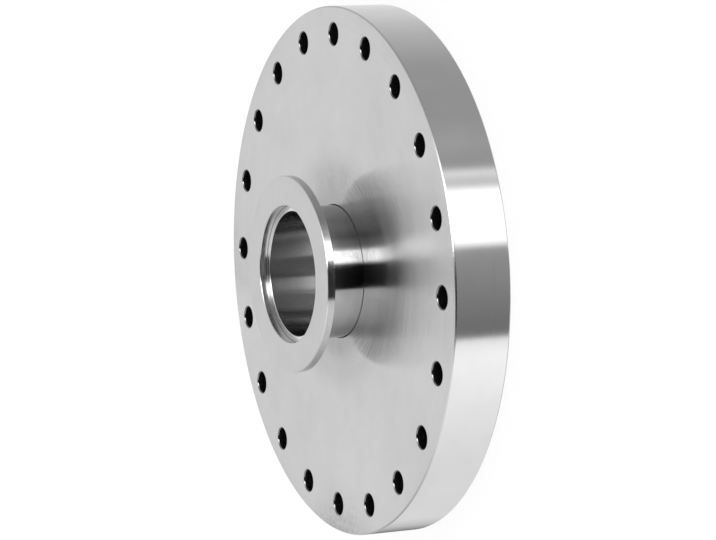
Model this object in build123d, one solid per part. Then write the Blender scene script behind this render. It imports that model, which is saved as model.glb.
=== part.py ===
from build123d import *
import os
from math import radians, tan

# Reducing adapter for high vacuum: a bolted knife-edge flange with a small clamp flange on its
# air side. All sizes are in millimetres. The origin is the centre of the bolted sealing side,
# which the adapter lies on, and +Z points along the common axis towards the clamp port.

# Knife edge and the recess that centres the copper gasket
gasket_recess_diameter = 171.4
gasket_recess_chamfer = 0.15
knife_edge_inset = 2.65
knife_edge_setback = 0.66
knife_outer_slope_deg = 20.0
knife_inner_draft_deg = 5.0
sealing_floor_depth = 1.9

# Bolt holes, which pass close outside the gasket recess
bolt_count = 20
bolt_hole_diameter = 8.4
bolt_hole_chamfer = 0.35
land_inside_holes = 0.65

# Bolted disc, which reaches this far beyond the walls of its holes
land_outside_holes = 6.45
disc_thickness = 22.2
rim_chamfer = 0.5

# Leak-test grooves across the outer land, each midway between two bolt holes
leak_groove_count = 2
leak_groove_width = 3.0
leak_groove_depth = 1.5

# Clamp port: flange and neck are one turned piece
port_height = 20.4
port_flange_diameter = 75.0
port_rim_thickness = 3.0
port_back_taper_deg = 15.0
port_back_fillet = 1.5
port_edge_chamfer = 0.25
centring_recess_diameter = 52.2
centring_recess_depth = 3.1
bore_edge_chamfer = 0.2
bore_diameter = 47.6
neck_wall = 1.6

# How the neck sits in the disc, and the weld that holds it there
neck_clearance = 0.1
socket_chamfer = 0.3
weld_lip_thickness = 1.5
weld_relief_width = 4.0
weld_relief_depth = 2.6
weld_melt_depth = 0.7
weld_crown = 0.4
weld_flank_width = 0.9

# Radii and heights that follow from the sizes above
gasket_recess_radius = gasket_recess_diameter / 2
knife_edge_radius = gasket_recess_radius - knife_edge_inset
bolt_hole_radius = bolt_hole_diameter / 2
bolt_circle_radius = gasket_recess_radius + land_inside_holes + bolt_hole_radius
disc_radius = bolt_circle_radius + bolt_hole_radius + land_outside_holes
bore_radius = bore_diameter / 2
neck_radius = bore_radius + neck_wall
socket_radius = neck_radius + neck_clearance
weld_lip_radius = socket_radius + weld_lip_thickness
weld_joint_z = sealing_floor_depth + weld_melt_depth
port_face_z = disc_thickness + port_height
port_flange_radius = port_flange_diameter / 2
centring_recess_radius = centring_recess_diameter / 2
centring_floor_z = port_face_z - centring_recess_depth


def turned(outline):
    """A solid of revolution about Z from a closed outline of (radius, height) points."""
    with BuildPart() as solid:
        with BuildSketch(Plane.XZ):
            with BuildLine():
                Polyline(*outline, close=True)
            make_face()
        revolve(axis=Axis.Z)
    return solid.part


def disc_blank():
    """The turned disc before anything is cut into it, with both rim edges broken."""
    blank = Cylinder(disc_radius, disc_thickness, align=(Align.CENTER, Align.CENTER, Align.MIN))
    return chamfer(blank.edges(), rim_chamfer)


def sealing_cut():
    """What the lathe takes out of the sealing side, which leaves the knife edge standing.

    From the outside in: a chamfered wall that centres the gasket, a shallow cone that rises to
    the sharp tip, the tip's steep inner face, and the flat floor inside it.
    """
    cone_rise = (gasket_recess_radius - knife_edge_radius) * tan(radians(knife_outer_slope_deg))
    gasket_recess_depth = knife_edge_setback + cone_rise
    tip_height = sealing_floor_depth - knife_edge_setback
    knife_foot_radius = knife_edge_radius - tip_height * tan(radians(knife_inner_draft_deg))
    return turned(
        [
            (0, 0),
            (gasket_recess_radius + gasket_recess_chamfer, 0),
            (gasket_recess_radius, gasket_recess_chamfer),
            (gasket_recess_radius, gasket_recess_depth),
            (knife_edge_radius, knife_edge_setback),
            (knife_foot_radius, sealing_floor_depth),
            (0, sealing_floor_depth),
        ]
    )


def socket_cut():
    """The bore that the neck stands in, with its edge broken on the air side."""
    return turned(
        [
            (0, 0),
            (socket_radius, 0),
            (socket_radius, disc_thickness - socket_chamfer),
            (socket_radius + socket_chamfer, disc_thickness),
            (0, disc_thickness),
        ]
    )


def weld_preparation_cut():
    """The relief groove that leaves a thin lip beside the neck, and the lip's own end, which
    has melted back into the weld."""
    groove_outer_radius = weld_lip_radius + weld_relief_width
    groove_floor_z = sealing_floor_depth + weld_relief_depth
    return turned(
        [
            (0, 0),
            (groove_outer_radius, 0),
            (groove_outer_radius, groove_floor_z),
            (weld_lip_radius, groove_floor_z),
            (weld_lip_radius, weld_joint_z),
            (0, weld_joint_z),
        ]
    )


def bolt_hole_cut():
    """One clearance hole in place on the bolt circle at angle zero, chamfered on the air side.

    The sealing side has no chamfer, because the gasket recess passes close by.
    """
    hole = turned(
        [
            (0, 0),
            (bolt_hole_radius, 0),
            (bolt_hole_radius, disc_thickness - bolt_hole_chamfer),
            (bolt_hole_radius + bolt_hole_chamfer, disc_thickness),
            (0, disc_thickness),
        ]
    )
    return Pos(bolt_circle_radius, 0, 0) * hole


def leak_groove_cut():
    """One leak-test groove, from the gasket recess's wall to well past the rim.

    It starts on the cone at the wall's foot, which it doesn't cut into.
    """
    inner_radius = gasket_recess_radius - gasket_recess_chamfer
    groove = Box(
        disc_radius,
        leak_groove_width,
        leak_groove_depth,
        align=(Align.MIN, Align.CENTER, Align.MIN),
    )
    return Pos(inner_radius, 0, 0) * groove


def bolt_flange():
    """The disc with its knife edge, weld preparation, socket, bolt holes and leak grooves."""
    disc = disc_blank() - sealing_cut() - weld_preparation_cut() - socket_cut()
    hole_pitch_deg = 360 / bolt_count
    disc -= [Rot(0, 0, hole_pitch_deg * k) * bolt_hole_cut() for k in range(bolt_count)]
    # Each groove starts from half a pitch, so that it runs midway between two holes.
    holes_between_grooves = bolt_count // leak_groove_count
    groove_angles = [
        hole_pitch_deg * (0.5 + holes_between_grooves * k) for k in range(leak_groove_count)
    ]
    disc -= [Rot(0, 0, angle) * leak_groove_cut() for angle in groove_angles]
    return disc


def clamp_port():
    """The clamp flange and its neck, turned from one bar.

    The back of the flange is the taper that a clamp's two halves ride up on to squeeze the
    joint. The face holds the stepped recess that the centring ring drops into.
    """
    rim_back_z = port_face_z - port_rim_thickness
    taper_drop = (port_flange_radius - neck_radius) * tan(radians(port_back_taper_deg))
    taper_foot_z = rim_back_z - taper_drop
    with BuildPart() as port:
        with BuildSketch(Plane.XZ) as section:
            with BuildLine():
                Polyline(
                    (bore_radius, weld_joint_z),
                    (neck_radius, weld_joint_z),
                    (neck_radius, taper_foot_z),
                    (port_flange_radius, rim_back_z),
                    (port_flange_radius, port_face_z - port_edge_chamfer),
                    (port_flange_radius - port_edge_chamfer, port_face_z),
                    (centring_recess_radius + port_edge_chamfer, port_face_z),
                    (centring_recess_radius, port_face_z - port_edge_chamfer),
                    (centring_recess_radius, centring_floor_z),
                    (bore_radius + bore_edge_chamfer, centring_floor_z),
                    (bore_radius, centring_floor_z - bore_edge_chamfer),
                    close=True,
                )
            make_face()
            neck_corner = section.vertices().sort_by_distance((neck_radius, taper_foot_z))[0]
            fillet(neck_corner, port_back_fillet)
        revolve(axis=Axis.Z)
    return port.part


def weld_bead():
    """The ring of weld that bridges the neck's end and the disc's lip, low and crowned."""
    crown_z = sealing_floor_depth - weld_crown
    return turned(
        [
            (bore_radius, weld_joint_z),
            (weld_lip_radius, weld_joint_z),
            (weld_lip_radius - weld_flank_width, crown_z),
            (bore_radius + weld_flank_width, crown_z),
        ]
    )


os.makedirs("parts", exist_ok=True)
for name, piece in (
    ("bolt_flange", bolt_flange()),
    ("clamp_port", clamp_port()),
    ("weld_bead", weld_bead()),
):
    export_step(piece, f"parts/{name}.step")
    print(name, "solids", len(piece.solids()), "volume mm3", round(piece.volume))
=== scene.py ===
# %% [markdown]
# # A reducing adapter for high vacuum
#
# The real thing is turned from stainless steel bar. A thick disc with a ring of bolt holes
# carries a short neck on one face, and the neck ends in a small clamp flange. Nothing moves and
# nothing is painted, so the whole look comes from two things: how round and how crisp the
# metal's forms are, and what the metal mirrors.
#
# The CAD solids are right in size, but their facets are coarse enough to break up a mirror
# image. Each piece is therefore worked out again here as a fine surface of revolution with the
# same sizes, and stands in the place of its CAD node.

from math import cos, radians, sin, tan

import bmesh
import bpy
import numpy as np
from mathutils import Matrix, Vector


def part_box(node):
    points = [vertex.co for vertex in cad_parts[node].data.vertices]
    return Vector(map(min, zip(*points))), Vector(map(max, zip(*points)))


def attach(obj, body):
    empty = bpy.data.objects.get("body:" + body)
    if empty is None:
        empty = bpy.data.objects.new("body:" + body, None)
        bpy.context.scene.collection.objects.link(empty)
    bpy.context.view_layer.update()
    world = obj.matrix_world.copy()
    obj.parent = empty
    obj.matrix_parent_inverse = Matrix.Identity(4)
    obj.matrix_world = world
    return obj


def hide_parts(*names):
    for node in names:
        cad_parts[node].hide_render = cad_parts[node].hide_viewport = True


MM = 0.001

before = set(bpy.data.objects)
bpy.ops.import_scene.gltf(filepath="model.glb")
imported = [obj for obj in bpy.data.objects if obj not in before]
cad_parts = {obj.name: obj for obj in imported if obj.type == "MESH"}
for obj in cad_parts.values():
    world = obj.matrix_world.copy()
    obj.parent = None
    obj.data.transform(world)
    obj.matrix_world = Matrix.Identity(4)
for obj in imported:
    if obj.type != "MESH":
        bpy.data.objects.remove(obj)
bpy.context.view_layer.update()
print("CAD nodes:", ", ".join(sorted(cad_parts)))

# %% [markdown]
# ## Camera
#
# The photograph shows the flange standing on its rim, seen from well round to one side, about
# 65 degrees off its axis. Here the part lies on its sealing side, so the same view is a long
# lens that looks down at it from one side, rolled by a little more than a right angle. The
# camera could be placed by eye. These angles came from fitting one to the centres of the twenty
# bolt holes, which is closer. Its lengths are in millimetres.

# %% Camera
CAMERA_AZIMUTH_DEG = 7.5721
CAMERA_ELEVATION_DEG = 24.8543
CAMERA_ROLL_DEG = 93.7601
CAMERA_DISTANCE = 1154.308
CAMERA_TARGET = (2.517, -20.041, 22.2)
CAMERA_LENS = 154.044
SENSOR_WIDTH = 36.0


def camera_axes(azimuth_deg, elevation_deg, roll_deg):
    """Right, up and back directions of a camera that looks at its target.

    Back points from the target to the camera. Right starts level and turns about back by the
    roll, and up is at a right angle to both.
    """
    azimuth, elevation, roll = map(radians, (azimuth_deg, elevation_deg, roll_deg))
    back = np.array([sin(azimuth) * cos(elevation), -cos(azimuth) * cos(elevation), sin(elevation)])
    level = np.array([cos(azimuth), sin(azimuth), 0.0])
    upright = np.cross(back, level)
    right = cos(roll) * level - sin(roll) * upright
    return right, np.cross(back, right), back


camera_right, camera_up, camera_back = camera_axes(
    CAMERA_AZIMUTH_DEG, CAMERA_ELEVATION_DEG, CAMERA_ROLL_DEG
)
camera_place = (np.array(CAMERA_TARGET) + CAMERA_DISTANCE * camera_back) * MM

camera_data = bpy.data.cameras.new("camera")
camera_data.sensor_width = SENSOR_WIDTH
camera_data.lens = CAMERA_LENS
camera_data.clip_start, camera_data.clip_end = 0.01, 100.0
camera = bpy.data.objects.new("camera", camera_data)
camera.matrix_world = Matrix(
    np.vstack([np.column_stack([camera_right, camera_up, camera_back, camera_place]), [0, 0, 0, 1]])
)
bpy.context.scene.collection.objects.link(camera)
bpy.context.scene.camera = camera
bpy.context.scene.view_settings.view_transform = "Standard"
print("camera at", np.round(camera_place / MM, 1), "mm")

# %% [markdown]
# ## Sizes
#
# These are the sizes that the part was drawn with, in millimetres. They are the standard ones
# for a bolted knife-edge flange of 160 mm bore and a clamp flange of 50 mm bore.

# %% Sizes of the real part
DISC_RADIUS = 101.2
DISC_THICKNESS = 22.2
RIM_CHAMFER = 0.5

HOLE_COUNT = 20
HOLE_CIRCLE_RADIUS = 90.55
HOLE_RADIUS = 4.2
HOLE_CHAMFER = 0.35

RECESS_RADIUS = 85.7
RECESS_CHAMFER = 0.15
KNIFE_RADIUS = 83.05
KNIFE_SETBACK = 0.66
KNIFE_OUTER_SLOPE_DEG = 20.0
KNIFE_INNER_DRAFT_DEG = 5.0
SEALING_FLOOR_Z = 1.9
LEAK_GROOVE_WIDTH = 3.0
LEAK_GROOVE_DEPTH = 1.5

BORE_RADIUS = 23.8
NECK_RADIUS = 25.4
SOCKET_RADIUS = 25.5
SOCKET_CHAMFER = 0.3
WELD_LIP_RADIUS = 27.0
WELD_RELIEF_RADIUS = 31.0
WELD_RELIEF_Z = 4.5
WELD_JOINT_Z = 2.6
WELD_CROWN_Z = 1.5

PORT_FACE_Z = 42.6
PORT_RADIUS = 37.5
PORT_RIM_THICKNESS = 3.0
PORT_TAPER_DEG = 15.0
PORT_BACK_FILLET = 1.5
PORT_CHAMFER = 0.25
CENTRING_RADIUS = 26.1
CENTRING_FLOOR_Z = 39.5
BORE_CHAMFER = 0.2
print("real part:", 2 * DISC_RADIUS, "mm across,", PORT_FACE_Z, "mm high")

# %% [markdown]
# ## Profiles with softened edges
#
# A lathe leaves no edge perfectly sharp, and on bright metal the thin line of light along an
# edge is what tells the eye that it was machined. A bevel modifier could round the edges after
# the mesh is made. Rounding the profile before it is turned costs less and gives full control
# of each edge, so that is the way here.
#
# Each corner becomes a short curve. A holding point beside each end of the curve keeps the
# smooth shading of the curve from leaking out over the flat that it joins.

# %% Profile corners
# How far a holding point lies beyond the end of a curve, in millimetres.
HOLD = 0.06
EDGE_STEPS = 4
print("points on a softened corner:", EDGE_STEPS + 1)


def soft_profile(corners, steps=EDGE_STEPS, hold=HOLD):
    """Points (radius, height) along a profile whose corners are softened.

    Each corner is (radius, height, softness). A corner P of softness s is replaced by the curve
    (1 - t)^2 A + 2 t (1 - t) P + t^2 B for t from 0 to 1, where A and B lie s away from P along
    its two runs. A softness of 0 keeps the corner as it is, and both ends are kept too.
    """
    points = np.array([c[:2] for c in corners], float)
    softness = [c[2] for c in corners]
    t = np.linspace(0.0, 1.0, steps + 1)[:, None]
    out = []
    for i, s in enumerate(softness):
        if s == 0 or i in (0, len(corners) - 1):
            out.append(points[i][None])
            continue
        before = points[i - 1] - points[i]
        after = points[i + 1] - points[i]
        length_before, length_after = np.linalg.norm(before), np.linalg.norm(after)
        before, after = before / length_before, after / length_after
        a, b = points[i] + s * before, points[i] + s * after
        curve = (1 - t) ** 2 * a + 2 * t * (1 - t) * points[i] + t**2 * b
        if length_before > 2 * s + 2 * hold:
            curve = np.vstack([a + hold * before, curve])
        if length_after > 2 * s + 2 * hold:
            curve = np.vstack([curve, b + hold * after])
        out.append(curve)
    return np.vstack(out)


# %% [markdown]
# ## Turning a profile
#
# A surface of revolution is a grid: one row for each profile point, one column for each angle.
# Patches are worked out one by one and then welded where their points coincide, which closes
# every seam.


# %% Grids, welding and mesh making
def turned_grid(profile, angles):
    """Points of a surface of revolution.

    Row i, column j is (r_i cos a_ij, r_i sin a_ij, z_i) for profile point (r_i, z_i). The
    angles are one row for all profile points, or one row for each.
    """
    radius, height = profile[:, :1], profile[:, 1:]
    angles = np.broadcast_to(angles, (len(profile), np.shape(angles)[-1]))
    return np.stack(
        [radius * np.cos(angles), radius * np.sin(angles), np.broadcast_to(height, angles.shape)],
        axis=-1,
    )


def grid_faces(rows, columns, wrap_columns=False, wrap_rows=False):
    """Corner numbers of the four-sided faces of a grid, as an array of rows by columns by 4."""
    i = np.arange(rows if wrap_rows else rows - 1)[:, None]
    j = np.arange(columns if wrap_columns else columns - 1)[None, :]
    i2, j2 = (i + 1) % rows, (j + 1) % columns
    return np.stack(
        [i * columns + j, i * columns + j2, i2 * columns + j2, i2 * columns + j], axis=-1
    )


class Shell:
    """Patches of one piece, gathered and then welded into one closed mesh."""

    def __init__(self):
        self.points, self.quads, self.finish, self.sides, self.count = [], [], [], [], 0

    def add(self, grid, faces, finish=0):
        """Adds a grid of points and its faces. finish is the number of its material slot."""
        points = np.reshape(grid, (-1, 3))
        faces = np.reshape(faces, (-1, 4))
        self.points.append(points)
        self.quads.append(faces + self.count)
        self.finish.append(np.full(len(faces), finish))
        self.count += len(points)

    def add_side(self, outline):
        """Adds one flat face with any number of corners."""
        self.points.append(outline)
        self.sides.append(np.arange(len(outline)) + self.count)
        self.count += len(outline)

    def mesh(self, name, weld=0.0005):
        """Welds points that lie within half a thousandth of a millimetre, and makes the mesh."""
        points = np.vstack(self.points)
        _, first, number = np.unique(
            np.round(points / weld).astype(np.int64), axis=0, return_index=True, return_inverse=True
        )
        number = number.reshape(-1)
        faces = [list(map(int, f)) for f in number[np.vstack(self.quads)]]
        faces += [list(map(int, number[s])) for s in self.sides]
        finish = np.concatenate(self.finish + [np.zeros(len(self.sides), int)])
        mesh = bpy.data.meshes.new(name)
        mesh.from_pydata(points[first] * MM, [], faces)
        mesh.polygons.foreach_set("material_index", finish.astype(np.int32))
        mesh.update()
        return mesh


SHARP_FROM_DEG = 40.0
print("edges stay sharp from a turn of", SHARP_FROM_DEG, "degrees")


def finished_piece(name, mesh):
    """An object at the origin with its faces turned outwards and smooth, apart from edges that
    turn by more than SHARP_FROM_DEG. Prints how many edges aren't shared by two faces."""
    work = bmesh.new()
    work.from_mesh(mesh)
    bmesh.ops.recalc_face_normals(work, faces=work.faces)
    volume = work.calc_volume(signed=True)
    if volume < 0:
        bmesh.ops.reverse_faces(work, faces=work.faces)
    open_edges = sum(not e.is_manifold for e in work.edges)
    triangles = sum(len(f.verts) - 2 for f in work.faces)
    work.to_mesh(mesh)
    work.free()
    mesh.shade_smooth()
    mesh.set_sharp_from_angle(angle=radians(SHARP_FROM_DEG))
    piece = bpy.data.objects.new(name, mesh)
    bpy.context.scene.collection.objects.link(piece)
    print(name, "triangles", triangles, "open edges", open_edges)
    print(name, "volume in cm3", round(abs(volume) * 1e6, 2))
    return piece


# %% [markdown]
# ## The bolted disc
#
# The disc is turned all over, drilled twenty times, and has two shallow grooves across its
# outer land for leak testing. Holes could be cut with Boolean modifiers, but those leave long
# thin faces that shade badly on bright metal. Here the mesh is laid out round the holes
# instead. The band of each face that holds them is divided into twenty fields, and in each
# field a grid changes from the hole's circle on its inside to the field's edge on its outside.
#
# The two columns beside each gap between fields run parallel, half a groove's width from its
# middle, so that the leak grooves can be let in without cutting a face.

# %% Columns round the disc
FIELD_COLUMNS = 24
COLUMNS = HOLE_COUNT * FIELD_COLUMNS
HALF_FIELD = FIELD_COLUMNS // 2
COLUMN_STEP = 2 * np.pi / COLUMNS
GROOVED_GAPS = (0, HOLE_COUNT // 2)


def column_angles(radius, columns):
    """Angles of the given columns at each of the given radii, as one row for each radius.

    Column 0 passes through a bolt hole. A column turns by 360 / COLUMNS degrees, but the two
    that run beside the middle of a gap lie asin(w / 2r) from it, w being the groove's width.
    """
    radius = np.atleast_1d(radius)[:, None]
    columns = np.atleast_1d(columns)[None, :]
    from_gap = columns % FIELD_COLUMNS - HALF_FIELD
    beside = np.arcsin(LEAK_GROOVE_WIDTH / 2 / np.maximum(radius, RECESS_RADIUS))
    shift = np.where(np.abs(from_gap) == 1, np.sign(from_gap) * (beside - COLUMN_STEP), 0.0)
    return columns * COLUMN_STEP + shift


def gap_column(gap):
    """The column in the middle of a gap between two bolt holes."""
    return gap * FIELD_COLUMNS + HALF_FIELD


AIR_BAND = (84.5, 96.5)
LAND_BAND = (86.05, 96.5)
BAND_STEPS = 10
FIELD_HALF_COLUMNS = HALF_FIELD - 1
ROUND_HOLE = 2 * (2 * FIELD_HALF_COLUMNS + BAND_STEPS)
print("columns", COLUMNS, "points round a hole", ROUND_HOLE)


# %% [markdown]
# A bolt hole goes right through the disc, and a countersink breaks its edge on the air side.
# Its field is a fan of faces, small and even at the hole and wider at the field's edge, so
# that the shading stays smooth where the eye looks closest.


# %% Fields with a bolt hole
def field_outline(hole, band):
    """The edge of one hole's field: along the band's inner circle, out beside the next gap,
    back along the outer circle, and in beside the gap before."""
    low, high = band
    middle = hole * FIELD_COLUMNS
    across = np.arange(-FIELD_HALF_COLUMNS, FIELD_HALF_COLUMNS)
    out = low + (high - low) * np.arange(BAND_STEPS) / BAND_STEPS
    inner_angles = column_angles(low, middle + across)[0]
    outer_angles = column_angles(high, middle - across)[0]
    next_side = column_angles(out, [middle + FIELD_HALF_COLUMNS])[:, 0]
    before = high - (high - low) * np.arange(BAND_STEPS) / BAND_STEPS
    last_side = column_angles(before, [middle - FIELD_HALF_COLUMNS])[:, 0]
    radius = np.concatenate(
        [np.full(len(across), low), out, np.full(len(across), high), before]
    )
    angle = np.concatenate([inner_angles, next_side, outer_angles, last_side])
    return np.column_stack([radius * np.cos(angle), radius * np.sin(angle)])


def hole_circle(hole, radius):
    """Points round a bolt hole, numbered like the points of its field's outline.

    Point k is the hole's centre plus radius times (cos a, sin a), where a starts on the disc's
    inner side, half an inner edge back, and falls by a full turn over ROUND_HOLE points.
    """
    centre = hole * 2 * np.pi / HOLE_COUNT
    start = np.pi + 2 * np.pi * FIELD_HALF_COLUMNS / ROUND_HOLE
    angle = centre + start - 2 * np.pi * np.arange(ROUND_HOLE) / ROUND_HOLE
    middle = HOLE_CIRCLE_RADIUS * np.array([np.cos(centre), np.sin(centre)])
    return middle + radius * np.column_stack([np.cos(angle), np.sin(angle)])


FIELD_SHARES = np.array([0.0, 0.3, 1.0])


def field_grid(hole, mouth_radius, band, height):
    """The flat of one field. Its first row is the hole's mouth, its second a slightly larger
    circle, and the last rows are (1 - s) circle + s outline, with s up to 1."""
    circle = hole_circle(hole, mouth_radius + HOLD)
    outline = field_outline(hole, band)
    rows = [hole_circle(hole, mouth_radius)]
    rows += [(1 - s) * circle + s * outline for s in FIELD_SHARES]
    flat = np.stack(rows)
    return np.concatenate([flat, np.full(flat.shape[:2] + (1,), height)], axis=-1)


def wall_grid(hole, profile):
    """The wall of one hole: its circle at each (radius, height) of the hole's own profile."""
    return np.stack(
        [np.column_stack([hole_circle(hole, r), np.full(ROUND_HOLE, z)]) for r, z in profile]
    )


LAND_BREAK = 0.06
HOLE_EDGE = 0.05

hole_profile = soft_profile(
    [
        (HOLE_RADIUS + LAND_BREAK, 0.0, 0.0),
        (HOLE_RADIUS, LAND_BREAK, 0.0),
        (HOLE_RADIUS, DISC_THICKNESS - HOLE_CHAMFER, HOLE_EDGE),
        (HOLE_RADIUS + HOLE_CHAMFER, DISC_THICKNESS, HOLE_EDGE),
        (HOLE_RADIUS + HOLE_CHAMFER + 2 * HOLD, DISC_THICKNESS, 0.0),
    ],
    steps=2,
)
mouth_radius = {"land": hole_profile[0, 0], "air": hole_profile[-1, 0]}
print("hole profile points", len(hole_profile))

# %% [markdown]
# The knife edge is a ridge with one steep and one shallow flank. It bites into a soft copper
# ring, and the wall outside it centres that ring. Further in, a relief groove leaves a thin
# lip for the weld, so that the weld's heat doesn't pull the disc out of true.
#
# The rim carries one fine line, where the two settings of the lathe meet.

# %% Profiles of the disc
cone_rise = (RECESS_RADIUS - KNIFE_RADIUS) * tan(radians(KNIFE_OUTER_SLOPE_DEG))
knife_foot = KNIFE_RADIUS - (SEALING_FLOOR_Z - KNIFE_SETBACK) * tan(radians(KNIFE_INNER_DRAFT_DEG))
WITNESS_Z = 6.7
WITNESS_WIDTH = 0.16
WITNESS_DEPTH = 0.012

# Softness of the corners, from the finest edge to the roundest inner corner.
WITNESS_EDGE = 0.03
SEAL_EDGE = 0.04
SEAT_CORNER = 0.05
EDGE = 0.08
RIM_EDGE = 0.12
KNIFE_CORNER = 0.2
RELIEF_CORNER = 0.5

inner_profile = soft_profile(
    [
        (AIR_BAND[0], DISC_THICKNESS, 0.0),
        (SOCKET_RADIUS + SOCKET_CHAMFER, DISC_THICKNESS, EDGE),
        (SOCKET_RADIUS, DISC_THICKNESS - SOCKET_CHAMFER, EDGE),
        (SOCKET_RADIUS, WELD_JOINT_Z, 0.0),
        (WELD_LIP_RADIUS, WELD_JOINT_Z, EDGE),
        (WELD_LIP_RADIUS, WELD_RELIEF_Z, RELIEF_CORNER),
        (WELD_RELIEF_RADIUS, WELD_RELIEF_Z, RELIEF_CORNER),
        (WELD_RELIEF_RADIUS, SEALING_FLOOR_Z, EDGE),
        (knife_foot, SEALING_FLOOR_Z, KNIFE_CORNER),
        (KNIFE_RADIUS, KNIFE_SETBACK, SEAL_EDGE),
        (RECESS_RADIUS, KNIFE_SETBACK + cone_rise, SEAT_CORNER),
        (RECESS_RADIUS, LEAK_GROOVE_DEPTH, 0.0),
        (RECESS_RADIUS, RECESS_CHAMFER, SEAL_EDGE),
        (RECESS_RADIUS + RECESS_CHAMFER, 0.0, SEAL_EDGE),
        (LAND_BAND[0], 0.0, 0.0),
    ]
)
outer_profile = soft_profile(
    [
        (LAND_BAND[1], 0.0, 0.0),
        (DISC_RADIUS - RIM_CHAMFER, 0.0, RIM_EDGE),
        (DISC_RADIUS, RIM_CHAMFER, RIM_EDGE),
        (DISC_RADIUS, LEAK_GROOVE_DEPTH, 0.0),
        (DISC_RADIUS, WITNESS_Z - WITNESS_WIDTH, 0.0),
        (DISC_RADIUS, WITNESS_Z - WITNESS_WIDTH / 2, WITNESS_EDGE),
        (DISC_RADIUS - WITNESS_DEPTH, WITNESS_Z, WITNESS_EDGE),
        (DISC_RADIUS, WITNESS_Z + WITNESS_WIDTH / 2, WITNESS_EDGE),
        (DISC_RADIUS, WITNESS_Z + WITNESS_WIDTH, 0.0),
        (DISC_RADIUS, DISC_THICKNESS - RIM_CHAMFER, RIM_EDGE),
        (DISC_RADIUS - RIM_CHAMFER, DISC_THICKNESS, RIM_EDGE),
        (AIR_BAND[1], DISC_THICKNESS, 0.0),
    ]
)
print("disc profile points", len(inner_profile) + len(outer_profile))


# %% [markdown]
# The disc's surfaces differ. Its two sides were cut by a facing tool, its rim more finely, its
# holes were drilled, and their mouths countersunk. Each could be an object of its own, but then
# every seam between them would need care. Here each face of the one mesh gets the number of its
# finish, which is the place of its material in the piece's list.

# %% The disc's shell
# Millimetres: TINY is for sizes that should be equal, CLOSE for telling surfaces apart.
TINY = 1e-6
CLOSE = 0.01
FACE, DRILLED, RIM, MOUTH, EDGES = range(5)


def in_groove(profile):
    """Which points of a profile lie inside the leak grooves: no higher than the groove's depth,
    and on the gasket recess's wall or outside it."""
    radius, height = profile.T
    return (height <= LEAK_GROOVE_DEPTH + TINY) & (radius >= RECESS_RADIUS - TINY)


# The middle of each run between two profile points says which surface the run belongs to.
wall_r, wall_z = (hole_profile[:-1] + hole_profile[1:]).T / 2
at_mouth = (wall_r > HOLE_RADIUS + CLOSE) & (wall_z > DISC_THICKNESS / 2)
shell = Shell()
all_columns = np.arange(COLUMNS)
groove_columns = np.concatenate([[gap_column(g) - 1, gap_column(g)] for g in GROOVED_GAPS])
for profile in (inner_profile, outer_profile):
    angles = column_angles(profile[:, 0], all_columns)
    faces = grid_faces(len(profile), COLUMNS, wrap_columns=True)
    cut = in_groove(profile)
    keep = np.ones(faces.shape[:2], bool)
    keep[np.ix_(cut[:-1] & cut[1:], groove_columns)] = False
    middle = (profile[:-1, 0] + profile[1:, 0]) / 2
    row_finish = np.select(
        [middle < DISC_RADIUS - RIM_CHAMFER, middle < DISC_RADIUS - 2 * WITNESS_DEPTH],
        [FACE, EDGES],
        RIM,
    )
    grid = turned_grid(profile, angles)
    for finish in (FACE, EDGES, RIM):
        shell.add(grid, faces[keep & (row_finish == finish)[:, None]], finish=finish)

for hole in range(HOLE_COUNT):
    for band, height, mouth in (
        (AIR_BAND, DISC_THICKNESS, mouth_radius["air"]),
        (LAND_BAND, 0.0, mouth_radius["land"]),
    ):
        grid = field_grid(hole, mouth, band, height)
        shell.add(grid, grid_faces(*grid.shape[:2], wrap_columns=True))
    grid = wall_grid(hole, hole_profile)
    faces = grid_faces(*grid.shape[:2], wrap_columns=True)
    shell.add(grid, faces[~at_mouth], finish=DRILLED)
    shell.add(grid, faces[at_mouth], finish=MOUTH)

for gap in range(HOLE_COUNT):
    for (low, high), height in ((AIR_BAND, DISC_THICKNESS), (LAND_BAND, 0.0)):
        if height == 0.0 and gap in GROOVED_GAPS:
            continue
        radius = np.linspace(low, high, BAND_STEPS + 1)
        strip = np.column_stack([radius, np.full(len(radius), height)])
        angles = column_angles(radius, gap_column(gap) + np.array([-1, 0, 1]))
        shell.add(turned_grid(strip, angles), grid_faces(len(radius), 3))
print("patches of the disc:", len(shell.quads))

# %% [markdown]
# A leak groove lets test gas reach the copper ring from outside. On the real disc it is one
# pass of a milling cutter across the outer land. A Boolean cut would do it too, but the columns
# already run along its sides. So its faces were left out above, and its floor and its two walls
# go in here.

# %% Leak grooves
band_points = np.column_stack(
    [np.linspace(*LAND_BAND, BAND_STEPS + 1), np.zeros(BAND_STEPS + 1)]
)
inside = inner_profile[in_groove(inner_profile)]
outside = outer_profile[in_groove(outer_profile)]
groove_side = np.vstack([inside[:-1], band_points, outside[1:]])
groove_floor = np.array([inside[0], outside[-1]])
for gap in GROOVED_GAPS:
    columns = gap_column(gap) + np.array([-1, 0, 1])
    shell.add(
        turned_grid(groove_floor, column_angles(groove_floor[:, 0], columns)),
        grid_faces(2, 3),
    )
    for column in columns[[0, 2]]:
        side = turned_grid(groove_side, column_angles(groove_side[:, 0], [column]))
        shell.add_side(side[:, 0])

disc = finished_piece("turned_bolt_flange", shell.mesh("turned_bolt_flange"))

# %% [markdown]
# ## The clamp port
#
# Neck and clamp flange are one turned piece. The flange's back is a shallow cone that a ring
# clamp rides up on, and its face has the stepped recess that a centring ring drops into. A
# cylinder and a cone could be joined for it. One closed profile, turned once, gives the same
# form with every edge softened and no seam.

# %% Profile of the clamp port
PORT_COLUMNS = 480
PORT_EDGE = 0.07
RECESS_FILLET = 0.2
FILLET_STEPS = 10
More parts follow.
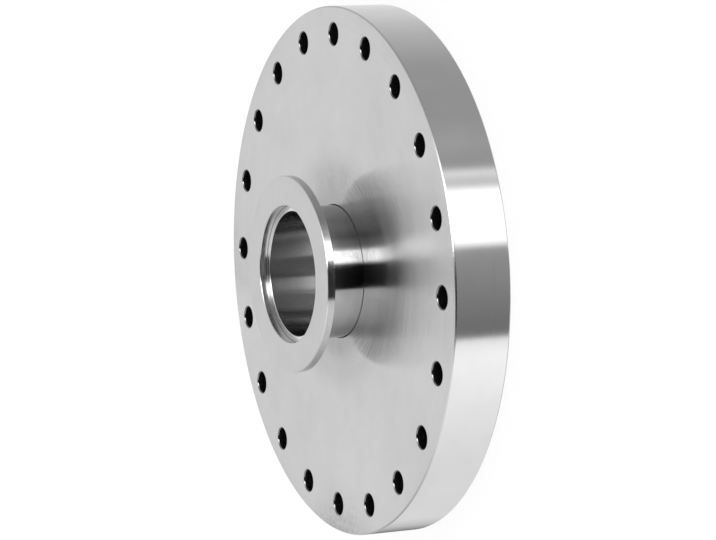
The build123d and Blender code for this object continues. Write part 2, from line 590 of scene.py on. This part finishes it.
# A ring of points just above the joint keeps the neck's shading straight.
NECK_HOLD = 0.5
neck_start_z = WELD_JOINT_Z + NECK_HOLD
rim_back_z = PORT_FACE_Z - PORT_RIM_THICKNESS
taper_foot_z = rim_back_z - (PORT_RADIUS - NECK_RADIUS) * tan(radians(PORT_TAPER_DEG))
# A fillet of radius R between two runs that meet at an angle g touches them R / tan(g / 2) away.
fillet_reach = PORT_BACK_FILLET / tan(radians(90 + PORT_TAPER_DEG) / 2)

port_profile = np.vstack(
    [
        soft_profile(
            [
                (BORE_RADIUS, WELD_JOINT_Z, 0.0),
                (NECK_RADIUS, WELD_JOINT_Z, 0.0),
                (NECK_RADIUS, neck_start_z, 0.0),
            ]
        ),
        soft_profile(
            [
                (NECK_RADIUS, neck_start_z, 0.0),
                (NECK_RADIUS, taper_foot_z, fillet_reach),
                (PORT_RADIUS, rim_back_z, PORT_EDGE),
            ],
            steps=FILLET_STEPS,
        )[1:-1],
        soft_profile(
            [
                (NECK_RADIUS, taper_foot_z, 0.0),
                (PORT_RADIUS, rim_back_z, PORT_EDGE),
                (PORT_RADIUS, PORT_FACE_Z - PORT_CHAMFER, PORT_EDGE),
                (PORT_RADIUS - PORT_CHAMFER, PORT_FACE_Z, PORT_EDGE),
                (CENTRING_RADIUS + PORT_CHAMFER, PORT_FACE_Z, PORT_EDGE),
                (CENTRING_RADIUS, PORT_FACE_Z - PORT_CHAMFER, PORT_EDGE),
                (CENTRING_RADIUS, CENTRING_FLOOR_Z, RECESS_FILLET),
                (BORE_RADIUS + BORE_CHAMFER, CENTRING_FLOOR_Z, PORT_EDGE),
                (BORE_RADIUS, CENTRING_FLOOR_Z - BORE_CHAMFER, PORT_EDGE),
                (BORE_RADIUS, WELD_JOINT_Z, 0.0),
            ]
        )[1:-1],
    ]
)
print("port profile points", len(port_profile))

# %% [markdown]
# Seven surfaces meet on the port, from the honed bore to the satin face that a rubber ring seals
# on. As on the disc, they stay one mesh, and each run of the profile is told apart by where its
# middle lies.

# %% The port's shell
port_angles = 2 * np.pi * np.arange(PORT_COLUMNS) / PORT_COLUMNS
port_grid = turned_grid(port_profile, port_angles)
port_faces = grid_faces(*port_grid.shape[:2], wrap_columns=True, wrap_rows=True)

# The neck's polish runs on into the fillet, up to a fifth of its reach below the taper's foot.
PORT_FINISHES = range(7)
CLAMP_BACK, CLAMP_FACE, NECK, BORE, RECESS, CORNER, RECESS_FLOOR = PORT_FINISHES
polish_end_z = taper_foot_z - fillet_reach / 5
run_r, run_z = ((port_profile + np.roll(port_profile, -1, axis=0)) / 2).T
over_floor = run_z - CENTRING_FLOOR_Z
from_wall = CENTRING_RADIUS - run_r
run_finish = np.select(
    [
        run_r < BORE_RADIUS + CLOSE,
        run_z < polish_end_z,
        (run_z > PORT_FACE_Z - CLOSE) & (run_r > CENTRING_RADIUS),
        (over_floor > -CLOSE) & (over_floor < RECESS_FILLET + CLOSE)
        & (from_wall > -CLOSE) & (from_wall < RECESS_FILLET + CLOSE),
        (np.abs(over_floor) < CLOSE) & (run_r < CENTRING_RADIUS),
        run_r < CENTRING_RADIUS + PORT_CHAMFER + CLOSE,
        run_z > PORT_FACE_Z - PORT_CHAMFER,
    ],
    [BORE, NECK, CLAMP_FACE, CORNER, RECESS_FLOOR, RECESS, RECESS],
    CLAMP_BACK,
)

shell = Shell()
for finish in PORT_FINISHES:
    shell.add(port_grid, port_faces[run_finish == finish], finish=finish)
port = finished_piece("turned_clamp_port", shell.mesh("turned_clamp_port"))

# %% [markdown]
# ## The weld
#
# The neck is fused to the disc's lip on the vacuum side, so that no crack is left where gas
# could hide. A fusion weld without filler freezes in a row of fine overlapping ripples. They
# are shaped in the mesh: the crown's height rises slowly and falls quickly along the ring, and
# each ripple's front bows forward in the middle of the bead, as a pool of metal does.

# %% Weld bead
RIPPLE_COUNT = 132
RIPPLE_POINTS = 8
RIPPLE_HEIGHT = 0.07
RIPPLE_BOW = 0.9
CROWN_POWER = 0.7
BEAD_ROWS = 17


def weld_grid():
    """Points of the bead.

    Across the bead u runs from 0 to 1, an arch is a = 4 u (1 - u), and the height over the
    joint is crown * a^CROWN_POWER. Along it a ripple takes away RIPPLE_HEIGHT * p^2 * sqrt(a),
    so that it fades out at both edges. p is the share of the way through a ripple:
    angle * count / 360 - bow * a, without its whole part.
    """
    u = np.linspace(0.0, 1.0, BEAD_ROWS)[:, None]
    angle = 2 * np.pi * np.arange(RIPPLE_COUNT * RIPPLE_POINTS) / (RIPPLE_COUNT * RIPPLE_POINTS)
    arch = 4 * u * (1 - u)
    phase = (angle * RIPPLE_COUNT / (2 * np.pi) - RIPPLE_BOW * arch) % 1.0
    ripple = RIPPLE_HEIGHT * phase**2 * np.sqrt(arch)
    radius = BORE_RADIUS + (WELD_LIP_RADIUS - BORE_RADIUS) * u
    height = WELD_JOINT_Z - (WELD_JOINT_Z - WELD_CROWN_Z) * arch**CROWN_POWER + ripple
    radius = np.broadcast_to(radius, height.shape)
    return np.stack([radius * np.cos(angle), radius * np.sin(angle), height], axis=-1)


shell = Shell()
grid = weld_grid()
shell.add(grid, grid_faces(*grid.shape[:2], wrap_columns=True))
joint = grid[[0, -1]]
shell.add(joint, grid_faces(2, grid.shape[1], wrap_columns=True))
weld = finished_piece("fused_weld_bead", shell.mesh("fused_weld_bead"))

# %% [markdown]
# ## Finishes
#
# Stainless steel is a nearly neutral grey mirror. Its base colour is the share of light that it
# gives back, about 58 in a hundred. What sets one machined surface apart from another is the
# lay of the tool marks. A turning tool leaves fine circles, which spread a reflection across
# themselves but hardly along themselves. An anisotropic shader does the same without drawing
# the marks one by one.


# %% Node helpers
def linear(hex_colour):
    """A linear RGBA colour from an sRGB hex value.

    Each channel c from 0 to 1 becomes ((c + 0.055) / 1.055)^2.4, or c / 12.92 near black.
    """
    c = np.array([int(hex_colour[i : i + 2], 16) / 255 for i in (1, 3, 5)])
    value = np.where(c <= 0.04045, c / 12.92, ((c + 0.055) / 1.055) ** 2.4)
    return (*map(float, value), 1.0)


print("half grey #808080 is", round(linear("#808080")[0], 3), "in linear light")


def node(tree, kind, settings=None, **sockets):
    """Adds a node, sets its properties, and fills or links its input sockets by name.

    A socket's name is written with underscores. A value that is another socket is linked, and
    a number in the name picks the socket by place, as in_0 or in_1.
    """
    made = tree.nodes.new(kind)
    for key, value in (settings or {}).items():
        setattr(made, key, value)
    for key, value in sockets.items():
        if key.startswith("in_"):
            socket = made.inputs[int(key[3:])]
        else:
            socket = made.inputs[key.replace("_", " ")]
        if isinstance(value, bpy.types.NodeSocket):
            tree.links.new(value, socket)
        else:
            socket.default_value = value
    return made


def empty_material(name):
    """A new node material with its output node only."""
    material = bpy.data.materials.new(name)
    material.use_nodes = True
    material.node_tree.nodes.clear()
    output = material.node_tree.nodes.new("ShaderNodeOutputMaterial")
    return material, material.node_tree, output


# %% [markdown]
# The lathe's feed leaves rings about 0.15 mm apart, too fine to show at this distance. They
# could be left out, but then the face looks like paint. Here they are drawn ten times coarser,
# with wider bands where the tool cut a little smoother, and cloudy places where the face has
# dulled.
#
# The large face isn't the same all over. Round the neck it was polished together with the
# tube, so that it mirrors the tube more sharply, and near the rim the tool ran smoother again.
# Those are its zones of roughness. The zones also make the face darker round the neck's foot,
# which is painted shade. Its marks are the few speckled smudges that fingers and packing leave,
# painted shade beside the neck over the haze of the polishing there, and painted shade along the
# face's edge at the picture's bottom.

# %% Turned stainless steel
# Real rings are 0.15 mm wide. These are 1.6 mm, which is as fine as the picture can show.
RING_WIDTH = 1.6
BAND_WIDTH = 9.0
BAND_SHARE = 0.2
DULL_PATCH = 22.0
DULLED = 0.93
SMUDGE_AND_SHADE_GRAIN = 2.2
# A noise keeps near its middle, so these of its values are taken as its two ends.
PATCH_ENDS = (0.35, 0.75)
GRAIN_ENDS = (0.38, 0.66)
GRAIN_LEVELS = (0.5, 1.1)
# A radial tangent runs along the rings. A quarter turn spreads a reflection across them.
ACROSS_THE_RINGS = 0.25


def turned_steel(name, colour, roughness, anisotropy, ring_bump, zones=None, marks_and_shade=()):
    """Stainless steel with circular tool marks about the part's axis.

    The tool's cuts vary with the distance from the axis plus the height, so that they form rings
    on a face, on a cylinder and on a cone alike. Their height is ring_bump in millimetres. The
    roughness is multiplied by 1 - BAND_SHARE / 2 + BAND_SHARE * b, where b is the wide bands.
    zones is a row of (radius, roughness share, colour share), with smooth steps between. On the
    large face the colour share is painted shade round the neck's foot. marks_and_shade is a row
    of (middle, reach, loss): the colour is multiplied by 1 - loss * f * g, where f falls smoothly
    from 1 in the middle to 0 at the reach, and g is a fine grain about 1. Some of them are real
    smudges, and the rest are painted shade.
    """
    material, tree, output = empty_material(name)
    place = node(tree, "ShaderNodeTexCoord").outputs["Object"]
    in_mm = node(
        tree, "ShaderNodeVectorMath", {"operation": "SCALE"}, in_0=place, Scale=1 / MM
    ).outputs[0]
    flat = node(
        tree, "ShaderNodeVectorMath", {"operation": "MULTIPLY"}, in_0=in_mm, in_1=(1.0, 1.0, 0.0)
    ).outputs[0]
    radius = node(tree, "ShaderNodeVectorMath", {"operation": "LENGTH"}, in_0=flat).outputs["Value"]
    height = node(tree, "ShaderNodeSeparateXYZ", in_0=in_mm).outputs["Z"]
    lay = node(tree, "ShaderNodeMath", {"operation": "ADD"}, in_0=radius, in_1=height).outputs[0]

    rings = node(
        tree, "ShaderNodeTexNoise", {"noise_dimensions": "1D"},
        W=lay, Scale=1 / RING_WIDTH, Detail=4.0, Roughness=0.7,
    ).outputs["Fac"]
    bands = node(
        tree, "ShaderNodeTexNoise", {"noise_dimensions": "1D"},
        W=lay, Scale=1 / BAND_WIDTH, Detail=1.0, Roughness=0.5,
    ).outputs["Fac"]
    patches = node(
        tree, "ShaderNodeTexNoise", {"noise_dimensions": "3D"},
        Vector=in_mm, Scale=1 / DULL_PATCH, Detail=4.0, Roughness=0.6,
    ).outputs["Fac"]

    grain = node(
        tree, "ShaderNodeTexNoise", {"noise_dimensions": "3D"},
        Vector=in_mm, Scale=1 / SMUDGE_AND_SHADE_GRAIN, Detail=3.0, Roughness=0.7,
    ).outputs["Fac"]
    grain = node(
        tree, "ShaderNodeMapRange", Value=grain, From_Min=GRAIN_ENDS[0], From_Max=GRAIN_ENDS[1],
        To_Min=GRAIN_LEVELS[0], To_Max=GRAIN_LEVELS[1],
    ).outputs["Result"]

    tone = node(
        tree, "ShaderNodeMapRange", Value=patches, From_Min=PATCH_ENDS[0], From_Max=PATCH_ENDS[1],
        To_Min=1.0, To_Max=DULLED,
    ).outputs["Result"]
    spread = node(
        tree, "ShaderNodeMath", {"operation": "MULTIPLY_ADD"},
        in_0=bands, in_1=BAND_SHARE * roughness, in_2=(1 - BAND_SHARE / 2) * roughness,
    ).outputs[0]
    if zones:
        share = node(
            tree, "ShaderNodeMapRange", Value=radius, From_Min=0.0, From_Max=DISC_RADIUS
        ).outputs["Result"]
        ramp = node(tree, "ShaderNodeValToRGB", in_0=share)
        ramp.color_ramp.interpolation = "EASE"
        for i, (zone_radius, rough_share, colour_and_shade_share) in enumerate(zones):
            position = zone_radius / DISC_RADIUS
            stops = ramp.color_ramp.elements
            stop = stops[i] if i < 2 else stops.new(position)
            stop.position = position
            stop.color = (rough_share, colour_and_shade_share, 0.0, 1.0)
        parts = node(tree, "ShaderNodeSeparateColor", Color=ramp.outputs[0])
        spread = node(
            tree, "ShaderNodeMath", {"operation": "MULTIPLY"}, in_0=spread, in_1=parts.outputs[0]
        ).outputs[0]
        # The colour share darkens the face round the neck's foot: painted shade.
        tone = node(
            tree, "ShaderNodeMath", {"operation": "MULTIPLY"}, in_0=tone, in_1=parts.outputs[1]
        ).outputs[0]
    # Each of these darkens the colour: the smudges are real, and the rest is painted shade.
    for middle, reach, loss in marks_and_shade:
        away = node(
            tree, "ShaderNodeVectorMath", {"operation": "DISTANCE"}, in_0=flat, in_1=(*middle, 0.0)
        ).outputs["Value"]
        kept = node(
            tree, "ShaderNodeMapRange", {"interpolation_type": "SMOOTHSTEP"},
            Value=away, From_Min=0.0, From_Max=reach, To_Min=loss, To_Max=0.0,
        ).outputs["Result"]
        speckled = node(
            tree, "ShaderNodeMath", {"operation": "MULTIPLY"}, in_0=kept, in_1=grain
        ).outputs[0]
        left_after_smudge_and_shade = node(
            tree, "ShaderNodeMath", {"operation": "SUBTRACT"}, in_0=1.0, in_1=speckled
        ).outputs[0]
        tone = node(
            tree, "ShaderNodeMath", {"operation": "MULTIPLY"}, in_0=tone, in_1=left_after_smudge_and_shade
        ).outputs[0]
    base = node(
        tree, "ShaderNodeVectorMath", {"operation": "SCALE"}, in_0=linear(colour)[:3], Scale=tone
    ).outputs[0]
    bump = node(
        tree, "ShaderNodeBump", Strength=1.0, Distance=ring_bump * MM, Height=rings
    ).outputs[0]
    tangent = node(tree, "ShaderNodeTangent", {"direction_type": "RADIAL", "axis": "Z"}).outputs[0]
    shader = node(
        tree, "ShaderNodeBsdfPrincipled",
        Base_Color=base, Metallic=1.0, Roughness=spread, Normal=bump,
        Anisotropic=anisotropy, Anisotropic_Rotation=ACROSS_THE_RINGS, Tangent=tangent,
    )
    tree.links.new(shader.outputs[0], output.inputs["Surface"])
    return material


# %% [markdown]
# One function makes nine finishes. Their numbers started from typical ones for turned steel, a
# roughness of 0.2 to 0.3, and were then matched to the real part, surface by surface. The zones
# and the marks are for the large face alone. They could be painted as a picture, but a few
# circles in the part's own coordinates keep their place and need no file.

# %% The turned finishes
# Radius in millimetres, share of the roughness, share of the colour. The colour share paints shade
# round the neck's foot.
FACE_ZONES_AND_SHADE = (
    (27.0, 0.58, 0.61), (38.0, 0.64, 0.81), (50.0, 0.8, 0.97), (64.0, 0.92, 1.0), (84.0, 0.9, 1.0)
)
# Middle in millimetres, reach, share of the light lost.
SMUDGES = (
    ((36.0, -8.0), 9.0, 0.16),
    ((35.0, 3.0), 9.0, 0.16),
    ((34.0, 13.0), 8.0, 0.12),
    ((-29.5, -3.0), 5.0, 0.08),
    ((-30.0, 4.0), 5.0, 0.08),
    ((-45.0, -20.0), 8.0, 0.06),
)
# Painted shade beside the neck, where the face mirrors the neck dimly, over some real haze of the
# polishing there.
SHADE_AND_HAZE_BESIDE_NECK = (
    ((-9.0, -38.0), 17.0, 0.28),
    ((21.0, -34.0), 17.0, 0.28),
    ((9.5, -28.0), 11.0, 0.28),
)
# Painted shade: its middle lies past the rim, so it only darkens the edge of the face on that side.
PAINTED_SHADE_AT_EDGE = (((-125.0, -3.0), 48.0, 0.8),)
FACE_MARKS_AND_SHADE = SMUDGES + SHADE_AND_HAZE_BESIDE_NECK + PAINTED_SHADE_AT_EDGE

# A facing cut: its circles draw every reflection out toward the axis and the rim.
face_finish = turned_steel(
    "fine_turned_stainless", "#D0D0D0", 0.25, 1.0, 0.09, FACE_ZONES_AND_SHADE, FACE_MARKS_AND_SHADE
)
# A finishing cut on the rim: a nearly clear mirror, a little soft from edge to edge.
rim_finish = turned_steel("turned_rim_stainless", "#CCCCCC", 0.12, 0.5, 0.0004)
# The clamp rides on the flange's back and edge, so these are smooth and bright.
clamp_finish = turned_steel("polished_clamp_stainless", "#D6D6D6", 0.08, 0.4, 0.0003)
# A rubber ring seals on this face. Its circles are even and satin.
clamp_face_finish = turned_steel("turned_seal_face_stainless", "#C4C4C4", 0.16, 0.6, 0.0006)
# Polished tube: the clearest mirror on the part, slightly dark.
neck_finish = turned_steel("polished_tube_stainless", "#BDBDBD", 0.06, 0.3, 0.0003)
# The bore was honed, and smears light along the axis. Its colour is painted dark, as the shade
# inside the tube.
bore_painted_shade = turned_steel("bored_tube_stainless", "#989898", 0.2, 0.95, 0.0003)
# Short cuts at the chamfers and in the recess catch the light as thin, soft lines.
edge_finish = turned_steel("turned_edge_stainless", "#CACACA", 0.22, 0.7, 0.0006)
# The tool's round nose leaves a rounded corner at the recess's foot, painted darker there as shade.
recess_corner_painted_shade = turned_steel("recess_corner_stainless", "#8C8C8C", 0.3, 0.5, 0.0006)
# The recess's floor never rubs on anything. Its colour is brighter than steel's own: painted light
# that lifts what it mirrors.
recess_floor_painted_light = turned_steel("recess_floor_stainless", "#E2E2E2", 0.24, 0.7, 0.0006)
print("zones on the face:", len(FACE_ZONES_AND_SHADE), "marks on the face:", len(FACE_MARKS_AND_SHADE))

# %% [markdown]
# A drill leaves a rougher wall than a lathe does, with rings round the hole's own axis, and a
# countersink cuts its mouth a little smoother. The drilled walls are also painted dark, as
# shade inside the holes. The holes could share the face's finish, but its rings run round the
# part's axis and would cross them. The weld is steel that melted and froze: smooth in itself,
# with a little straw colour here and there from the heat.

# %% Drilled and welded stainless steel
# A drill's rings lie about 0.2 mm apart. These are 0.5 mm, as fine as a close view can show.
DRILL_RING = 0.5
DRILL_BUMP = 0.01
STRAW_PATCH = 7.0
STRAW_ENDS = (0.35, 0.7)
WELD_ROUGHNESS = 0.2
STRAW_ROUGHNESS = 0.1


def drilled_steel(name, colour, roughness):
    """Drilled steel: rings along the hole's depth, as a noise of the height, in bump and in
    roughness, which runs from one to two times the given number."""
    material, tree, output = empty_material(name)
    place = node(tree, "ShaderNodeTexCoord").outputs["Object"]
    height = node(tree, "ShaderNodeSeparateXYZ", in_0=place).outputs["Z"]
    rings = node(
        tree, "ShaderNodeTexNoise", {"noise_dimensions": "1D"},
        W=height, Scale=1 / (DRILL_RING * MM), Detail=2.0, Roughness=0.6,
    ).outputs["Fac"]
    spread = node(
        tree, "ShaderNodeMath", {"operation": "MULTIPLY_ADD"},
        in_0=rings, in_1=roughness, in_2=roughness,
    ).outputs[0]
    bump = node(
        tree, "ShaderNodeBump", Strength=1.0, Distance=DRILL_BUMP * MM, Height=rings
    ).outputs[0]
    shader = node(
        tree, "ShaderNodeBsdfPrincipled",
        Base_Color=linear(colour), Metallic=1.0, Roughness=spread, Normal=bump,
    )
    tree.links.new(shader.outputs[0], output.inputs["Surface"])
    return material


def welded_steel():
    """Fused weld metal: a faint straw tint that varies round the ring, a little rougher where
    it is strongest."""
    material, tree, output = empty_material("fused_weld_stainless")
    place = node(tree, "ShaderNodeTexCoord").outputs["Object"]
    tint = node(
        tree, "ShaderNodeTexNoise", {"noise_dimensions": "3D"},
        Vector=place, Scale=1 / (STRAW_PATCH * MM), Detail=3.0,
    ).outputs["Fac"]
    share = node(
        tree, "ShaderNodeMapRange", Value=tint, From_Min=STRAW_ENDS[0], From_Max=STRAW_ENDS[1],
        To_Min=0.0, To_Max=1.0,
    ).outputs["Result"]
    colour = node(
        tree, "ShaderNodeMix", {"data_type": "RGBA"},
        in_0=share, in_6=linear("#C6C5C2"), in_7=linear("#BFB59C"),
    ).outputs[2]
    spread = node(
        tree, "ShaderNodeMath", {"operation": "MULTIPLY_ADD"},
        in_0=share, in_1=STRAW_ROUGHNESS, in_2=WELD_ROUGHNESS,
    ).outputs[0]
    shader = node(
        tree, "ShaderNodeBsdfPrincipled", Base_Color=colour, Metallic=1.0, Roughness=spread
    )
    tree.links.new(shader.outputs[0], output.inputs["Surface"])
    return material


# %% [markdown]
# A mesh holds its materials in a list, and each face holds a place in that list. The faces got
# theirs when the shells were laid out, so the lists only have to come in the same order. Faces
# could be picked and assigned by hand instead, but not again after each change of size.

# %% Finishes on the pieces
# Twist-drilled walls: dull, and painted dark as the shade inside the holes, so that a hole reads as
# depth.
drilled_wall_painted_shade = drilled_steel("drilled_stainless", "#6E6E6E", 0.2)
# The countersink's cone: smoother, a thin lighter line round each hole.
countersunk_finish = drilled_steel("countersunk_stainless", "#808080", 0.12)
# Metal that froze from a melt: bright and smooth, straw-tinted in places.
weld_finish = welded_steel()

# The order in each list is that of the finish numbers above.
for piece, finishes in (
    (disc, (face_finish, drilled_wall_painted_shade, rim_finish, countersunk_finish, edge_finish)),
    (
        port,
        (
            clamp_finish, clamp_face_finish, neck_finish, bore_painted_shade, edge_finish,
            recess_corner_painted_shade, recess_floor_painted_light,
        ),
    ),
    (weld, (weld_finish,)),
):
    for finish in finishes:
        piece.data.materials.append(finish)
print("finishes:", ", ".join(m.name for m in bpy.data.materials))

# %% [markdown]
# ## Each piece in its place
#
# Every piece rides on the part's one body, and stands for its CAD node, which is hidden.

# %% Fit the pieces to the frame
for piece, cad_node, slot in (
    (disc, "bolt_flange", "turned_disc"),
    (port, "clamp_port", "turned_port"),
    (weld, "weld_bead", "weld"),
):
    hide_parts(cad_node)
    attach(piece, "root")
    low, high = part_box(cad_node)
    print(cad_node, "CAD box in mm", [round(v / MM, 2) for v in (*low, *high)])

# %% [markdown]
# ## Floor and studio
#
# Metal shows its surroundings, so the studio is part of the finish. It could be built from
# lamps and cards. Here it is drawn by direction, as if every wall were far away, which costs no
# light samples. There are three walls, each a ring of cloths, papers and lights round the
# part's axis: one behind the large face's plane, which the disc's rim mirrors, one in front of
# it, which the face mirrors and the neck sees by way of the face, and one straight ahead. A
# cloth hangs on the camera's side of all three, black in front and dark grey behind, with a long
# strip light beside it. The strip is at its brightest from a little way in front of the face's
# plane.
#
# Only reflections see those walls. The camera and the diffuse light see plain white, and the
# floor takes the object's soft shadow.

# %% Floor
# Metres.
FLOOR_SIZE = 8.0
# The paper's own tint catches the shadow. Its glow, for the camera alone, brings it to white.
FLOOR_GLOW = 0.86
FLOOR_TINT = 0.16

floor_mesh = bpy.data.meshes.new("floor")
half = FLOOR_SIZE / 2
floor_mesh.from_pydata(
    [(-half, -half, 0.0), (half, -half, 0.0), (half, half, 0.0), (-half, half, 0.0)],
    [],
    [(0, 1, 2, 3)],
)
floor = bpy.data.objects.new("floor", floor_mesh)
bpy.context.scene.collection.objects.link(floor)



def sent_on(tree):
    """1 for a ray that a mirror or a glass has sent on, and 0 for any other."""
    path = node(tree, "ShaderNodeLightPath").outputs
    return node(
        tree, "ShaderNodeMath", {"operation": "MAXIMUM"},
        in_0=path["Is Glossy Ray"], in_1=path["Is Transmission Ray"],
    ).outputs[0]


material, tree, output = empty_material("white_studio_paper")
seen_directly = node(tree, "ShaderNodeLightPath").outputs["Is Camera Ray"]
paper = node(tree, "ShaderNodeBsdfDiffuse", Color=(FLOOR_TINT, FLOOR_TINT, FLOOR_TINT, 1.0))
glow = node(
    tree, "ShaderNodeEmission", Color=(1.0, 1.0, 1.0, 1.0),
    Strength=node(
        tree, "ShaderNodeMath", {"operation": "MULTIPLY"},
        in_0=seen_directly, in_1=FLOOR_GLOW,
    ).outputs[0],
)
lit = node(tree, "ShaderNodeAddShader", in_0=paper.outputs[0], in_1=glow.outputs[0])
clear = node(tree, "ShaderNodeBsdfTransparent")
mix = node(
    tree, "ShaderNodeMixShader", in_0=sent_on(tree), in_1=lit.outputs[0], in_2=clear.outputs[0]
)
tree.links.new(mix.outputs[0], output.inputs["Surface"])
floor_mesh.materials.append(material)
print("floor:", FLOOR_SIZE, "m square, seen by the camera and by diffuse light alone")

# %% [markdown]
# The walls could be pictures wrapped round the scene. Here each is a colour ramp of the angle
# about the part's axis, because its stops are few, and each can be moved by hand until its
# band lies where the metal shows it.

# %% Bands of the studio
# The brightness at the top of the ramps, which can't hold more than 1 themselves.
BRIGHTEST = 8.0
# Where the picture's top lies, in degrees from +X towards +Y.
UP_DEG = 5.99
studio_up = np.array([cos(radians(UP_DEG)), sin(radians(UP_DEG)), 0.0])
studio_front = np.array([0.0, 0.0, 1.0])
studio_right = np.cross(studio_up, studio_front)

# Each stop is an angle about the part's axis and a brightness. The camera's side is at 0, the
# picture's top at 90, its bottom at -90, and the far side at both ends. White paper is 1.
FRONT = (
    (-180, 1.0), (-160, 0.9), (-147, 0.68), (-131, 0.62), (-115, 0.71), (-84, 1.2), (-42, 1.52),
    (-32, 1.4), (-31, 0.0), (6, 0.0), (12, 0.1), (17, 0.9), (35, 0.9), (38, 0.9), (44, 0.5),
    (62, 0.22), (84, 0.4), (100, 0.43), (132, 0.7), (152, 0.7), (180, 1.0),
)
# The stops that the strip light changes, from where it starts.
STRIP_LIGHT = {17: 5.8, 35: 5.8, 38: 1.8}
LIT_FRONT = tuple((angle, STRIP_LIGHT.get(angle, level)) for angle, level in FRONT)
BACK = (
    (-180, 0.2), (-163, 0.25), (-151, 0.7), (-140, 1.0), (-80, 1.2), (-39, 1.5), (-31.6, 1.35),
    (-30.6, 0.22), (8, 0.47), (9, 1.9), (33, 1.9), (34, 0.84), (37.5, 0.84), (38.5, 1.2),
    (41.5, 1.2), (42.5, 0.46), (54, 0.55), (67, 0.48), (97, 0.5), (142, 0.88), (178, 0.85),
    (180, 0.2),
)
AHEAD = (
    (-180, 0.4), (-165, 1.0), (-100, 1.1), (-53, 1.1), (-48, 0.0), (12, 0.0), (16, 6.0), (35, 6.0),
    (43, 4.3), (60, 2.6), (77, 1.15), (165, 1.0), (180, 0.4),
)

# How far a direction points ahead, from -1 to 1, where one wall gives way to the next.
FRONT_FROM = (-0.3, -0.1)
STRIP_FROM = (0.29, 0.37)
AHEAD_FROM = (0.66, 0.84)
print("studio stops:", len(BACK), "behind,", len(FRONT), "in front,", len(AHEAD), "ahead")

# %% [markdown]
# The world's shader works out which way a ray points: how far to the studio's right, up and
# front. The turn about the axis picks the place on each ramp, and the share ahead blends one
# wall into the next. Rays of the camera and of the diffuse light skip all that and find white.

# %% The world
world = bpy.data.worlds.new("studio")
bpy.context.scene.world = world
world.use_nodes = True
tree = world.node_tree
tree.nodes.clear()
direction = node(tree, "ShaderNodeTexCoord").outputs["Generated"]


def banded(bands):
    """Brightness by angle about the part's axis: a colour ramp with a stop at each band edge.

    An angle of a degrees lies at (a + 180) / 360 on the ramp, and the ramp holds brightness
    divided by BRIGHTEST.
    """
    made = node(tree, "ShaderNodeValToRGB", in_0=share_of_turn)
    ramp = made.color_ramp
    for i, (angle, level) in enumerate(bands):
        place = (angle + 180) / 360
        stop = ramp.elements[i] if i < 2 else ramp.elements.new(place)
        stop.position = place
        stop.color = (*[level / BRIGHTEST] * 3, 1.0)
    return made.outputs[0]


def blended(share, span, first, second):
    """first where share is below the span, second where it is above it, smooth between."""
    part = node(
        tree, "ShaderNodeMapRange", {"interpolation_type": "SMOOTHSTEP"},
        Value=share, From_Min=span[0], From_Max=span[1],
    ).outputs["Result"]
    return node(
        tree, "ShaderNodeMix", {"data_type": "RGBA"}, in_0=part, in_6=first, in_7=second
    ).outputs[2]


# How far the looking direction points to the studio's right, up and front.
to_right, to_up, ahead = (
    node(
        tree, "ShaderNodeVectorMath", {"operation": "DOT_PRODUCT"},
        in_0=direction, in_1=tuple(map(float, axis)),
    ).outputs["Value"]
    for axis in (studio_right, studio_up, studio_front)
)
turn = node(
    tree, "ShaderNodeMath", {"operation": "ARCTAN2"}, in_0=to_up, in_1=to_right
).outputs[0]
share_of_turn = node(
    tree, "ShaderNodeMath", {"operation": "MULTIPLY_ADD"}, in_0=turn, in_1=0.5 / np.pi, in_2=0.5
).outputs[0]
front = blended(ahead, STRIP_FROM, banded(FRONT), banded(LIT_FRONT))
walls = blended(ahead, FRONT_FROM, banded(BACK), front)
seen = blended(ahead, AHEAD_FROM, walls, banded(AHEAD))
reflected = node(tree, "ShaderNodeBackground", Color=seen, Strength=BRIGHTEST)
plain = node(tree, "ShaderNodeBackground", Color=(1.0, 1.0, 1.0, 1.0), Strength=1.0)
mix = node(
    tree, "ShaderNodeMixShader",
    in_0=sent_on(tree), in_1=plain.outputs[0], in_2=reflected.outputs[0],
)
node(tree, "ShaderNodeOutputWorld", Surface=mix.outputs[0])
print("world nodes:", len(tree.nodes))
